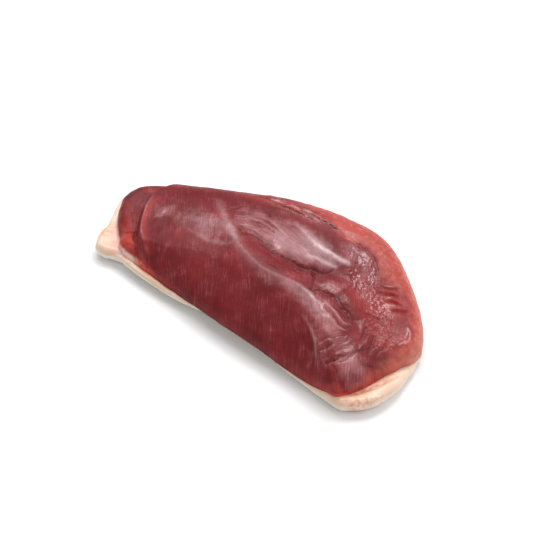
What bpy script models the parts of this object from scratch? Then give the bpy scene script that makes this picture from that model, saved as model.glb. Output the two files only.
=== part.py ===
# A raw duck breast fillet, lying skin side down: the breast muscle on its layer of skin and fat.
# +X runs towards the broad end, +Z is up, and the fillet rests on the table at the origin.

import math

import bmesh
import bpy
import numpy as np

MM = 0.001

# The edge of the skin, anticlockwise from the broad end, and what changes round it. Each row is
# x, y, the lift of the skin's underside off the table, the thickness of skin and fat, how far
# towards the middle the meat starts (under 0 where it overhangs the skin), and how far in from
# there the meat is fully thick. All are in millimetres, as are the sizes below.
EDGE = [
    (94.5, -22.0, 0.4, 6.8, 6.0, 16.0),
    (93.0, -6.0, 1.2, 3.2, -0.6, 14.0),
    (83.5, 13.0, 2.8, 2.4, -1.2, 14.0),
    (66.0, 33.0, 4.8, 2.4, -0.6, 14.0),
    (47.0, 49.5, 6.2, 3.0, 1.5, 16.0),
    (20.0, 54.0, 7.0, 3.0, 1.5, 18.0),
    (-11.0, 51.5, 7.2, 3.0, 1.5, 20.0),
    (-44.0, 40.5, 7.0, 3.2, 1.5, 23.0),
    (-76.0, 28.5, 6.2, 3.6, 1.6, 16.0),
    (-92.0, 20.0, 4.8, 4.0, 2.0, 12.0),
    (-97.0, 9.0, 4.0, 4.6, 2.4, 9.0),
    (-95.0, -2.0, 3.0, 6.2, 3.4, 8.0),
    (-91.5, -12.5, 1.2, 8.4, 6.0, 8.0),
    (-91.0, -21.0, 0.3, 10.0, 12.0, 9.0),
    (-87.0, -29.5, 0.2, 10.0, 13.0, 10.0),
    (-81.0, -31.5, 0.8, 8.2, 11.0, 11.0),
    (-73.0, -30.0, 3.0, 5.2, 5.0, 12.0),
    (-58.0, -33.5, 3.0, 4.8, 4.6, 20.0),
    (-32.0, -37.5, 3.6, 3.2, 2.4, 28.0),
    (-8.0, -38.5, 4.8, 2.2, -1.4, 30.0),
    (22.0, -43.5, 4.6, 2.2, -1.6, 30.0),
    (40.0, -47.5, 3.2, 2.2, -0.4, 30.0),
    (57.0, -51.0, 1.6, 4.0, 1.0, 26.0),
    (69.0, -53.5, 0.4, 7.8, 2.6, 24.0),
    (75.0, -54.5, 0.2, 9.2, 3.6, 24.0),
    (80.5, -52.0, 0.0, 9.4, 6.4, 24.0),
    (88.5, -45.0, 0.0, 9.4, 9.2, 18.0),
    (93.0, -34.0, 0.0, 9.0, 9.8, 17.0),
]
HALF_LENGTH = 94.0
HALF_WIDTH = 54.0
CENTRE = (-1.3, 0.0)  # middle of the fillet's box, which becomes the origin
CURVE_STEPS = 10  # samples between two points of an edge or a crest line

# The skin in section
SKIN_MIDDLE = 5.0  # thickness under the middle of the meat
SKIN_ROLL = 20.0  # how far in from its edge the skin lies flat on the table
SKIN_ROUND = 0.5  # rounding of its edge, as a share of its thickness
SKIN_SETTLED = 0.5  # soft skin that would clear the table by less than this lies flat on it
GAP = 0.35  # between the two solids, which touch in the real fillet

# The meat in section, measured from the skin
MEAT_MIDDLE = 17.0
SHOULDER_POWER = 2.0  # 2 is a round shoulder, more is squarer

# Low strip of muscle at the narrow end, beyond the step where the main muscle ends
STEP_LINE = [
    (-60, 54),
    (-70, 34),
    (-77, 14),
    (-77, 3),
    (-74, -4),
    (-70, -12),
    (-65, -20),
    (-54, -31),
    (-42, -44),
]
STRIP_THICKNESS = 8.5
STEP_SHARE = 0.6  # of the main muscle's height is in the step itself
STEP_WIDTH = 4.0
STEP_RUN = 24.0  # over which the main muscle rises to its full height

# Lines that rise out of the meat, or sink into it where the height is under 0: points on the
# plan, the height at each of them, and half the width over which the surface follows it
RELIEF = {
    "keel crest": (
        [(-45, 13), (-23, 3), (-3, -9), (19, -13), (41, -18), (57, -30)],
        [2.0, 4.0, 5.0, 5.0, 4.5, 3.0],
        13.0,
    ),
    "rear lobe": (
        [(-31, 34), (-9, 29), (13, 23), (29, 18), (39, 13)],
        [2.0, 3.5, 5.0, 5.0, 4.0],
        10.0,
    ),
    "broad end": (
        [(55, 30), (70, 12), (78, -10), (76, -32)],
        [-4.0, -5.5, -6.0, -6.0],
        19.0,
    ),
    "main cleft": (
        [(-23, 9), (-7, 5), (5, 3), (15, -2), (24, 1), (32, 5), (42, 13)],
        [-0.4, -1.2, -2.0, -3.2, -3.4, -2.6, -1.0],
        5.4,
    ),
    "side cleft": (
        [(33, -5), (44, -8), (52, -11), (61, -16), (69, -25)],
        [-0.8, -2.2, -2.8, -2.0, -0.8],
        5.5,
    ),
}

# Squares of the mesh along, across and up each solid
MEAT_CUTS = (50, 28, 8)
SKIN_CUTS = (38, 20, 8)

MEAT_COLOUR = (0.27, 0.045, 0.05, 1.0)
MEAT_ROUGHNESS = 0.35
SKIN_COLOUR = (0.80, 0.62, 0.47, 1.0)
SKIN_ROUGHNESS = 0.5


def smooth_line(rows, closed):
    """Rows of numbers, joined by a curve that passes through each of them."""
    rows = np.array(rows, float)
    count = len(rows)
    spans = count if closed else count - 1
    steps = np.arange(0, 1, 1 / CURVE_STEPS)[:, None]
    parts = []
    for i in range(spans):
        if closed:
            before, start, end, after = (rows[(i + k) % count] for k in (-1, 0, 1, 2))
        else:
            before, start = rows[max(i - 1, 0)], rows[i]
            end, after = rows[i + 1], rows[min(i + 2, count - 1)]
        leave, arrive = (end - before) / 2, (after - start) / 2
        s2, s3 = steps**2, steps**3
        parts.append(
            start * (2 * s3 - 3 * s2 + 1)
            + leave * (s3 - 2 * s2 + steps)
            + end * (3 * s2 - 2 * s3)
            + arrive * (s3 - s2)
        )
    if not closed:
        parts.append(rows[-1:])
    return np.vstack(parts)


def angle_of(x, y):
    """Direction from the middle of the fillet, with its length and width made equal."""
    return np.arctan2(y / HALF_WIDTH, x / HALF_LENGTH)


def nearest_on(line, x, y):
    """Distance to a line, and on which side of it each point lies."""
    start, run = line[:-1, :2], np.diff(line[:, :2], axis=0)
    to_x, to_y = x[:, None] - start[:, 0], y[:, None] - start[:, 1]
    share = np.clip((to_x * run[:, 0] + to_y * run[:, 1]) / (run**2).sum(1), 0, 1)
    away = np.hypot(to_x - share * run[:, 0], to_y - share * run[:, 1])
    best = away.argmin(1)
    rows = np.arange(len(x))
    side = np.sign(run[best, 0] * to_y[rows, best] - run[best, 1] * to_x[rows, best])
    return away[rows, best], side


def swell(line, half_width, x, y):
    """A soft ridge along a line, as high as the line's third number says."""
    middle = (line[:-1] + line[1:]) / 2
    length = np.hypot(*np.diff(line[:, :2], axis=0).T)
    square = (x[:, None] - middle[:, 0]) ** 2 + (y[:, None] - middle[:, 1]) ** 2
    weight = middle[:, 2] * length / (half_width * math.sqrt(math.pi))
    return np.exp(-square / half_width**2) @ weight


def smooth_step(share):
    share = np.clip(share, 0, 1)
    return share * share * (3 - 2 * share)


class Outline:
    """The edge of the skin or of the meat on the plan."""

    def __init__(self, edge, moved_in):
        curve = smooth_line(edge, closed=True)
        curve = np.vstack([curve, curve[:1]])
        if moved_in:
            length = np.hypot(curve[:, 0], curve[:, 1])
            curve[:, :2] *= (1 - curve[:, 4] / length)[:, None]
        self.curve = curve
        self.angles = angle_of(curve[:, 0], curve[:, 1])

    def at(self, angle, column):
        """The value in a column of the edge, in that direction from the middle."""
        order = self.angles[:-1].argsort()
        values = self.curve[order, column]
        return np.interp(angle, self.angles[order], values, period=math.tau)

    def inside(self, x, y):
        """How far in from the outline each point lies, under 0 where it is outside."""
        away, side = nearest_on(self.curve, x, y)
        return away * side


skin_outline = Outline(EDGE, moved_in=False)
meat_outline = Outline(EDGE, moved_in=True)
step_line = smooth_line(STEP_LINE, closed=False)
relief_lines = [
    (smooth_line([(*p, h) for p, h in zip(points, heights)], closed=False), half_width)
    for points, heights, half_width in RELIEF.values()
]


def towards_edge(x, y):
    """1 at the edge of the skin, falling to 0 where the skin lies flat."""
    return np.clip(1 - skin_outline.inside(x, y) / SKIN_ROLL, 0, 1) ** 2


def rolled(x, y):
    """How far the skin's roll lifts the layers on it."""
    return skin_outline.at(angle_of(x, y), 2) * towards_edge(x, y)


def underside(x, y):
    """Height of the skin's lower face before its edge is rounded, flat where it rests."""
    lift = skin_outline.at(angle_of(x, y), 2) + SKIN_SETTLED
    return np.maximum(lift * towards_edge(x, y) - SKIN_SETTLED, 0)


def skin_thickness(x, y):
    at_edge = skin_outline.at(angle_of(x, y), 3)
    return SKIN_MIDDLE + (at_edge - SKIN_MIDDLE) * towards_edge(x, y)


def skin_surface(x, y, upper):
    """Height of the skin's upper or lower face."""
    half = skin_thickness(x, y) / 2
    reach = 2 * half * SKIN_ROUND
    rounding = np.sqrt(1 - np.clip(1 - skin_outline.inside(x, y) / reach, 0, 1) ** 2)
    top = rolled(x, y) + half * (1 + rounding)
    bottom = underside(x, y) + half * (1 - rounding)
    return np.where(upper, top, bottom)


def meat_thickness(x, y):
    """Thickness of the meat away from its rounded edge."""
    full = np.full_like(x, MEAT_MIDDLE)
    for line, half_width in relief_lines:
        full += swell(line, half_width, x, y)
    away, side = nearest_on(step_line, x, y)
    step = smooth_step(0.5 + side * away / STEP_WIDTH)
    run = smooth_step(side * away / STEP_RUN)
    main_muscle = STEP_SHARE * step + (1 - STEP_SHARE) * run
    return STRIP_THICKNESS + (full - STRIP_THICKNESS) * main_muscle


def meat_surface(x, y, upper):
    """Height of the meat's upper or lower face."""
    low = rolled(x, y) + skin_thickness(x, y) + GAP
    reach = meat_outline.at(angle_of(x, y), 5)
    outward = np.clip(1 - meat_outline.inside(x, y) / reach, 0, 1)
    shoulder = (1 - outward**SHOULDER_POWER) ** (1 / SHOULDER_POWER)
    return np.where(upper, low + meat_thickness(x, y) * shoulder, low)


def quad_ball(cuts):
    """A cube, cut into squares along X, Y and Z, for puffing out into a ball with no poles."""
    bm = bmesh.new()
    bmesh.ops.create_cube(bm, size=2.0)
    for axis, count in enumerate(cuts):
        along = [
            edge
            for edge in bm.edges
            if abs(edge.verts[0].co[axis] - edge.verts[1].co[axis]) > 0.5
        ]
        bmesh.ops.subdivide_edges(bm, edges=along, cuts=count - 1, use_grid_fill=True)
    return bm


def puffed(cube):
    """Points of a cube moved out to the unit ball."""
    squares = cube**2
    ball = np.empty_like(cube)
    for axis in range(3):
        a, b = squares[:, (axis + 1) % 3], squares[:, (axis + 2) % 3]
        ball[:, axis] = cube[:, axis] * np.sqrt(1 - a / 2 - b / 2 + a * b / 3)
    return ball


def make_solid(name, cuts, outline, surface, colour, roughness):
    """A ball of squares, pressed into the outline and between the two faces of one layer."""
    bm = quad_ball(cuts)
    mesh = bpy.data.meshes.new(name)
    bm.to_mesh(mesh)
    bm.free()

    points = np.empty(len(mesh.vertices) * 3)
    mesh.vertices.foreach_get("co", points)
    ball = puffed(points.reshape(-1, 3))
    angle = np.arctan2(ball[:, 1], ball[:, 0])
    radius = np.hypot(ball[:, 0], ball[:, 1])
    x = outline.at(angle, 0) * radius
    y = outline.at(angle, 1) * radius
    z = surface(x, y, ball[:, 2] > 0)
    placed = np.stack([x - CENTRE[0], y - CENTRE[1], z], 1)
    mesh.vertices.foreach_set("co", (placed * MM).ravel())
    mesh.update()
    mesh.shade_smooth()

    obj = bpy.data.objects.new(name, mesh)
    mesh.materials.append(make_material(name, colour, roughness))
    return obj


def make_material(name, colour, roughness):
    material = bpy.data.materials.new(name)
    material.use_nodes = True
    shader = material.node_tree.nodes["Principled BSDF"]
    shader.inputs["Base Color"].default_value = colour
    shader.inputs["Roughness"].default_value = roughness
    shader.inputs["Metallic"].default_value = 0.0
    return material


def main():
    for obj in list(bpy.data.objects):
        bpy.data.objects.remove(obj)
    fillet = bpy.data.collections.new("duck_breast_fillet")
    bpy.context.scene.collection.children.link(fillet)
    for obj in (
        make_solid(
            "skin_fat", SKIN_CUTS, skin_outline, skin_surface, SKIN_COLOUR, SKIN_ROUGHNESS
        ),
        make_solid(
            "breast_meat", MEAT_CUTS, meat_outline, meat_surface, MEAT_COLOUR, MEAT_ROUGHNESS
        ),
    ):
        fillet.objects.link(obj)


main()
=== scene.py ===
# Raw duck breast fillet, meat side up, on its layer of skin and fat.
# Lengths are in mm until a mesh is written. +X runs to the broad end, +Y to the rear edge.

import math

import bmesh
import bpy
import numpy as np
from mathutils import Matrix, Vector


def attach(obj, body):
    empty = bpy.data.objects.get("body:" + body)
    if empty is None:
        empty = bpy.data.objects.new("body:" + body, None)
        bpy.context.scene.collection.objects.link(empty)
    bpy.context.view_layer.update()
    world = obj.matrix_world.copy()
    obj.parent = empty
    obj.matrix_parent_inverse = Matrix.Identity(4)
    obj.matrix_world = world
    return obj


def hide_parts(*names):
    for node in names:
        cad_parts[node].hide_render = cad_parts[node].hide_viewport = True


mm = 0.001

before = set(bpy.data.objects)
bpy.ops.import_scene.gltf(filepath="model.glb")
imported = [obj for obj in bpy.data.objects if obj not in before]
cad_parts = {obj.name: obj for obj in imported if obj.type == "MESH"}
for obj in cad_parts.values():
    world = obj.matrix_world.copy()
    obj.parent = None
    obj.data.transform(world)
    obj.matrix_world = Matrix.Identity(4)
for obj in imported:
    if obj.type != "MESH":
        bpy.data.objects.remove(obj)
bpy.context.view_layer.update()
print("frame loaded with nodes", sorted(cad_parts))


# Plan shared by skin and meat

filletPlan = {
    # x, y, lift of the skin off the table, thickness of skin and fat, how far in the meat
    # starts (under 0 it overhangs), how far in from there the meat is fully thick
    "edge": [
        (94.5, -22.0, 0.4, 6.8, 6.0, 16.0),
        (93.0, -6.0, 1.2, 3.2, -0.6, 14.0),
        (83.5, 13.0, 2.8, 2.4, -1.2, 14.0),
        (66.0, 33.0, 4.8, 2.4, -0.6, 14.0),
        (47.0, 49.5, 6.2, 3.0, 1.5, 16.0),
        (20.0, 54.0, 7.0, 3.0, 1.5, 18.0),
        (-11.0, 51.5, 7.2, 3.0, 1.5, 20.0),
        (-44.0, 40.5, 7.0, 3.2, 1.5, 23.0),
        (-76.0, 28.5, 6.2, 3.6, 1.6, 16.0),
        (-92.0, 20.0, 4.8, 4.0, 2.0, 12.0),
        (-97.0, 9.0, 4.0, 4.6, 2.4, 9.0),
        (-95.0, -2.0, 3.0, 6.2, 3.4, 8.0),
        (-91.5, -12.5, 1.2, 8.4, 6.0, 8.0),
        (-91.0, -21.0, 0.3, 10.0, 12.0, 9.0),
        (-87.0, -29.5, 0.2, 10.0, 13.0, 10.0),
        (-81.0, -31.5, 0.8, 8.2, 11.0, 11.0),
        (-73.0, -30.0, 3.0, 5.2, 5.0, 12.0),
        (-58.0, -33.5, 3.0, 4.8, 4.6, 20.0),
        (-32.0, -37.5, 3.6, 3.2, 2.4, 28.0),
        (-8.0, -38.5, 4.8, 2.2, -1.4, 30.0),
        (22.0, -43.5, 4.6, 2.2, -1.6, 30.0),
        (40.0, -47.5, 3.2, 2.2, -0.4, 30.0),
        (57.0, -51.0, 1.6, 4.0, 1.0, 26.0),
        (69.0, -53.5, 0.4, 7.8, 2.6, 24.0),
        (75.0, -54.5, 0.2, 9.2, 3.6, 24.0),
        (80.5, -52.0, 0.0, 9.4, 6.4, 24.0),
        (88.5, -45.0, 0.0, 9.4, 9.2, 18.0),
        (93.0, -34.0, 0.0, 9.0, 9.8, 17.0),
    ],
    "halfLength": 94.0,
    "halfWidth": 54.0,
    "centre": (-1.3, 0.0),  # middle of the fillet's box, which becomes the origin
    "stepsPerSpan": 10,
    "raggedness": 0.35,  # how far the cut edge wanders in and out
    "raggedLength": 5.0,
}
liftColumn, thickColumn, insetColumn, shoulderColumn = 2, 3, 4, 5


def curveThrough(rows, closed=False, steps=filletPlan["stepsPerSpan"]):
    rows = np.array(rows, float)
    count = len(rows)
    if closed:
        spans = [[rows[(i + k) % count] for k in (-1, 0, 1, 2)] for i in range(count)]
    else:
        ends = np.vstack([rows[:1], rows, rows[-1:]])
        spans = [ends[i : i + 4] for i in range(count - 1)]
    t = np.arange(0, 1, 1 / steps)[:, None]
    pieces = []
    for before, start, end, after in spans:
        leave, arrive = (end - before) / 2, (after - start) / 2
        pieces.append(
            start * (2 * t**3 - 3 * t**2 + 1)
            + leave * (t**3 - 2 * t**2 + t)
            + end * (3 * t**2 - 2 * t**3)
            + arrive * (t**3 - t**2)
        )
    pieces.append(rows[:1] if closed else rows[-1:])
    return np.vstack(pieces)


def lengthAlong(curve):
    return np.append(0, np.hypot(*np.diff(curve[:, :2], axis=0).T).cumsum())


def evenly(curve, spacing):
    # the same curve with its points a set distance apart
    along = lengthAlong(curve)
    at = np.linspace(0, along[-1], max(2, int(along[-1] / spacing) + 1))
    return np.stack([np.interp(at, along, column) for column in curve.T], 1)


def nearestOn(curve, x, y, block=20000):
    # distance, value of the curve's third column there, and side: 1 on the left of the curve
    start, run = curve[:-1, :2], np.diff(curve[:, :2], axis=0)
    square = (run**2).sum(1) + 1e-12
    away, value, side = np.empty_like(x), np.empty_like(x), np.empty_like(x)
    for first in range(0, len(x), block):
        part = slice(first, first + block)
        toX, toY = x[part, None] - start[:, 0], y[part, None] - start[:, 1]
        share = np.clip((toX * run[:, 0] + toY * run[:, 1]) / square, 0, 1)
        gap = np.hypot(toX - share * run[:, 0], toY - share * run[:, 1])
        best = gap.argmin(1)
        row = np.arange(len(best))
        away[part] = gap[row, best]
        value[part] = np.interp(best + share[row, best], np.arange(len(curve)), curve[:, 2])
        side[part] = np.sign(run[best, 0] * toY[row, best] - run[best, 1] * toX[row, best])
    return away, value, side


def softStep(share):
    share = np.clip(share, 0, 1)
    return share * share * (3 - 2 * share)


def mottle(x, y, seed):
    # smooth noise, about -1 to 1, with features about 1 unit across
    tiles = 128
    turns = np.random.default_rng(seed).uniform(0, math.tau, (tiles, tiles))
    column, row = np.floor(x), np.floor(y)
    a, b = x - column, y - row
    column, row = column.astype(int), row.astype(int)

    def corner(i, j):
        turn = turns[(row + j) % tiles, (column + i) % tiles]
        return np.cos(turn) * (a - i) + np.sin(turn) * (b - j)

    u, v = softStep(a), softStep(b)
    low = corner(0, 0) * (1 - u) + corner(1, 0) * u
    high = corner(0, 1) * (1 - u) + corner(1, 1) * u
    return 1.5 * (low * (1 - v) + high * v)


def mottles(x, y, size, seed, layers=3):
    # coarse noise with ever finer noise on it
    total = np.zeros_like(x)
    for layer in range(layers):
        total += mottle(x / size * 2**layer, y / size * 2**layer, seed + layer) / 2**layer
    return total


def angleOf(x, y):
    return np.arctan2(y / filletPlan["halfWidth"], x / filletPlan["halfLength"])


def edgeCurve(forMeat):
    curve = curveThrough(filletPlan["edge"], closed=True)
    length = np.hypot(curve[:, 0], curve[:, 1])
    inset = curve[:, insetColumn] if forMeat else 0
    along = lengthAlong(curve)
    wander = mottle(along / filletPlan["raggedLength"], along * 0, seed=3 if forMeat else 4)
    wander[-1] = wander[0]
    inset = inset + filletPlan["raggedness"] * wander
    curve[:, :2] *= (1 - inset / length)[:, None]
    return curve


def edgeValue(curve, angle, column):
    angles = angleOf(curve[:-1, 0], curve[:-1, 1])
    order = angles.argsort()
    return np.interp(angle, angles[order], curve[order, column], period=math.tau)


def spread(curve, ball):
    # x and y for a ball's points, their spokes set evenly along the edge
    along = lengthAlong(curve)
    turns = along / along[-1] * math.tau + angleOf(curve[0, 0], curve[0, 1])
    angle = np.arctan2(ball[:, 1], ball[:, 0])
    radius = np.hypot(ball[:, 0], ball[:, 1])
    x = np.interp(angle, turns[:-1], curve[:-1, 0], period=math.tau) * radius
    y = np.interp(angle, turns[:-1], curve[:-1, 1], period=math.tau) * radius
    return x, y


def insideEdge(curve, x, y):
    away, _, side = nearestOn(curve, x, y)
    return away * side


skinEdge = edgeCurve(forMeat=False)
meatEdge = edgeCurve(forMeat=True)


# Relief drawn with lines: soft swellings and narrow folds


def swelling(x, y, halfWidth, points):
    curve = evenly(curveThrough(points), halfWidth / 3)
    middle = (curve[:-1] + curve[1:]) / 2
    length = np.hypot(*np.diff(curve[:, :2], axis=0).T)
    total = np.zeros_like(x)
    for (px, py, height), step in zip(middle, length):
        total += height * step * np.exp(-((x - px) ** 2 + (y - py) ** 2) / halfWidth**2)
    return total / (halfWidth * math.sqrt(math.pi))


def fold(x, y, halfWidth, points, sharpness=1.5):
    # narrow ridge or groove that follows a line; the third number is its height
    curve = evenly(curveThrough(points), 1.0)
    reach = halfWidth * 4
    low, high = curve[:, :2].min(0) - reach, curve[:, :2].max(0) + reach
    near = (x > low[0]) & (x < high[0]) & (y > low[1]) & (y < high[1])
    total = np.zeros_like(x)
    away, height, _ = nearestOn(curve, x[near], y[near])
    total[near] = height * np.exp(-((away / halfWidth) ** sharpness))
    return total


def patch(x, y, spots):
    # 0 to 1: soft ovals of x, y, half length, half width, turn in degrees and strength
    total = np.zeros_like(x)
    for px, py, halfLong, halfWide, turn, strength in spots:
        c, s = math.cos(math.radians(turn)), math.sin(math.radians(turn))
        along = ((x - px) * c + (y - py) * s) / halfLong
        across = ((y - py) * c - (x - px) * s) / halfWide
        total += strength * np.exp(-((along**2 + across**2) ** 1.5))
    return np.clip(total, 0, 1)


# Meshes


def puffedGrid(cuts, flatShare, openBelow):
    # A cube of squares puffed into a ball: returns its bmesh and each point's x, y, z on the ball.
    # flatShare says how much of the radius the top face's squares cover. openBelow puts one
    # face in place of the squares underneath.
    bm = bmesh.new()
    bmesh.ops.create_cube(bm, size=2.0)
    for axis, count in enumerate(cuts):
        along = []
        for edge in bm.edges:
            if abs(edge.verts[0].co[axis] - edge.verts[1].co[axis]) > 0.5:
                along.append(edge)
        bmesh.ops.subdivide_edges(bm, edges=along, cuts=count - 1, use_grid_fill=True)
    if openBelow:
        bm.normal_update()
        under = [face for face in bm.faces if face.normal.z < -0.9]
        bmesh.ops.delete(bm, geom=under, context="FACES")
        rim = [edge for edge in bm.edges if edge.is_boundary]
        bmesh.ops.contextual_create(bm, geom=rim)
    cube = np.array([vert.co for vert in bm.verts])
    square = cube**2
    ball = np.empty_like(cube)
    for axis in range(3):
        a, b = square[:, (axis + 1) % 3], square[:, (axis + 2) % 3]
        ball[:, axis] = cube[:, axis] * np.sqrt(1 - a / 2 - b / 2 + a * b / 3)
    radius = np.hypot(ball[:, 0], ball[:, 1])
    corner = math.sqrt(0.5)
    widened = np.interp(radius, [0, corner, 1], [0, flatShare, 1])
    ball[:, :2] *= (widened / np.maximum(radius, 1e-9))[:, None]
    return bm, ball


def makePiece(name, bm, points, material, paint):
    mesh = bpy.data.meshes.new(name)
    bm.to_mesh(mesh)
    bm.free()
    placed = points - np.array([*filletPlan["centre"], 0])
    mesh.vertices.foreach_set("co", (placed * mm).ravel())
    mesh.update()
    mesh.shade_smooth()
    for layer, values in paint.items():
        flat = values.ndim == 1
        attribute = mesh.attributes.new(layer, "FLOAT" if flat else "FLOAT_VECTOR", "POINT")
        attribute.data.foreach_set("value" if flat else "vector", values.ravel())
    mesh.materials.append(material)
    piece = bpy.data.objects.new(name, mesh)
    bpy.context.scene.collection.objects.link(piece)
    return piece


# Material helpers


def tint(code):
    # colour written as on a colour chart, turned into the shader's linear values
    values = [int(code[i : i + 2], 16) / 255 for i in (0, 2, 4)]
    linear = [v / 12.92 if v <= 0.04045 else ((v + 0.055) / 1.055) ** 2.4 for v in values]
    return (*linear, 1.0)


def addNode(tree, kind, inputs=(), **settings):
    made = tree.nodes.new(kind)
    for key, value in settings.items():
        setattr(made, key, value)
    for socket, value in dict(inputs).items():
        if isinstance(value, bpy.types.NodeSocket):
            tree.links.new(value, made.inputs[socket])
        else:
            made.inputs[socket].default_value = value
    return made


def blend(tree, share, first, second, how="MIX"):
    # colour mix: share, first and second are sockets, numbers or colours
    made = addNode(tree, "ShaderNodeMix", {0: share}, data_type="RGBA", blend_type=how)
    for socket, value in ((6, first), (7, second)):
        if isinstance(value, bpy.types.NodeSocket):
            tree.links.new(value, made.inputs[socket])
        else:
            made.inputs[socket].default_value = value
    return made.outputs[2]


def sums(tree, how, first, second, third=None):
    inputs = {0: first, 1: second}
    if third is not None:
        inputs[2] = third
    return addNode(tree, "ShaderNodeMath", inputs, operation=how).outputs[0]


def noise(tree, where, scale, detail=2.0, roughness=0.5):
    inputs = {"Vector": where, "Scale": scale, "Detail": detail, "Roughness": roughness}
    return addNode(tree, "ShaderNodeTexNoise", inputs).outputs["Fac"]


def ramp(tree, value, low, high, bottom=0.0, top=1.0):
    inputs = {"Value": value, "From Min": low, "From Max": high, "To Min": bottom, "To Max": top}
    return addNode(tree, "ShaderNodeMapRange", inputs, clamp=True).outputs[0]


def painted(tree, layer):
    return addNode(tree, "ShaderNodeAttribute", attribute_name=layer)


def newMaterial(name, shaderValues):
    material = bpy.data.materials.new(name)
    material.use_nodes = True
    tree = material.node_tree
    shader = tree.nodes["Principled BSDF"]
    for socket, value in shaderValues.items():
        shader.inputs[socket].default_value = value
    return material, tree, shader


def millimetres(tree):
    # the place on the piece in mm, which the noises are scaled from
    where = addNode(tree, "ShaderNodeTexCoord").outputs["Object"]
    inputs = {0: where, "Scale": 1 / mm}
    return addNode(tree, "ShaderNodeVectorMath", inputs, operation="SCALE").outputs[0]


def roughen(tree, shader, height, strength, depth):
    inputs = {"Height": height, "Strength": strength, "Distance": depth * mm}
    bump = addNode(tree, "ShaderNodeBump", inputs)
    tree.links.new(bump.outputs[0], shader.inputs["Normal"])


# Skin and fat

skinAndFat = {
    "cuts": (240, 130, 20),  # squares along x, y and z
    "flatShare": 0.9,
    "middle": 5.0,  # thickness away from the edge
    "roll": 20.0,  # how far in from the edge the skin lies flat
    "rounding": 0.5,  # radius of the edge as a share of the thickness
    "settled": 0.5,  # skin that would clear the table by less than this lies flat on it
    "unevenness": 0.3,  # height of the lumps in the fat
    "unevenLength": 6.0,
    "edgeFade": 2.5,  # the relief dies out this far from the edge
    "skinSide": (0.4, 1.6),  # where on the rim the skin side ends, and how sharply
    "pitsPerMm": 0.42,  # feather pits of the skin side
    "bump": (0.5, 0.5),  # strength, depth in mm
    # narrow folds: half width, then x, y, height
    "folds": {
        "fatSeam": (0.7, [(77, -47, -0.1), (82, -41, -0.5), (86.5, -33, -0.5), (91, -24, -0.3)]),
        "seamLip": (1.0, [(78, -48.5, 0.2), (84, -42, 0.5), (89, -34, 0.5), (93, -25, 0.3)]),
        "innerStep": (1.2, [(78, -45, 0.3), (83, -36, 0.6), (87, -28, 0.5), (90, -20, 0.2)]),
        "lumpSide": (0.8, [(-92, -13, -0.2), (-88, -19, -0.5), (-86, -25, -0.4)]),
        "lumpTop": (3.0, [(-89, -17, 0.3), (-87, -24, 0.6), (-83, -28, 0.3)]),
    },
    "redSeam": (0.9, [(76, -48, 0.5), (82, -41, 1.0), (86.5, -33, 0.9), (91, -24, 0.5)]),
    "redThreads": (0.7, [(79, -45, 0.5), (83, -38.5, 0.8), (86, -33, 0.5)]),
    "blush": [
        (79, -51, 4.5, 2.0, 20, 0.9),
        (84, -47, 4.5, 2.4, 45, 1.0),
        (89, -41, 4.5, 2.0, 60, 0.7),
        (-87, -19, 4, 3, 60, 0.9),
        (-90, -20, 7, 8, -60, 0.35),
        (-84, -26, 3, 2, 30, 0.5),
    ],
    "innerFat": [(82, -40, 12, 3.2, 58, 0.6), (88, -27, 9, 3, 68, 0.5), (-91, -19, 7, 9, -60, 0.9)],
    "pinkFilm": [
        (-85.5, -9, 9, 2.4, 100, 1.0),
        (-80, -21, 8, 3.0, -60, 0.9),
        (-70, -28, 8, 2.0, -8, 0.5),
    ],
    "fatTint": "eed5c0",
    "deepFatTint": "e6c3a8",
    "innerFatTint": "e4b48e",
    "skinTint": "f5ece2",
    "filmTint": "eeb5a9",
    "blushTint": "d98468",
    "seamTint": "c04a38",
}


def towardsSkinEdge(x, y):
    return np.clip(1 - insideEdge(skinEdge, x, y) / skinAndFat["roll"], 0, 1) ** 2


def skinLift(x, y):
    # how far the skin's roll lifts what lies on it
    return edgeValue(skinEdge, angleOf(x, y), liftColumn) * towardsSkinEdge(x, y)


def skinUnderside(x, y):
    settled = skinAndFat["settled"]
    lift = edgeValue(skinEdge, angleOf(x, y), liftColumn) + settled
    return np.maximum(lift * towardsSkinEdge(x, y) - settled, 0)


def skinThickness(x, y):
    atEdge = edgeValue(skinEdge, angleOf(x, y), thickColumn)
    middle = skinAndFat["middle"]
    return middle + (atEdge - middle) * towardsSkinEdge(x, y)


def skinTop(x, y):
    return skinLift(x, y) + skinThickness(x, y)


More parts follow.
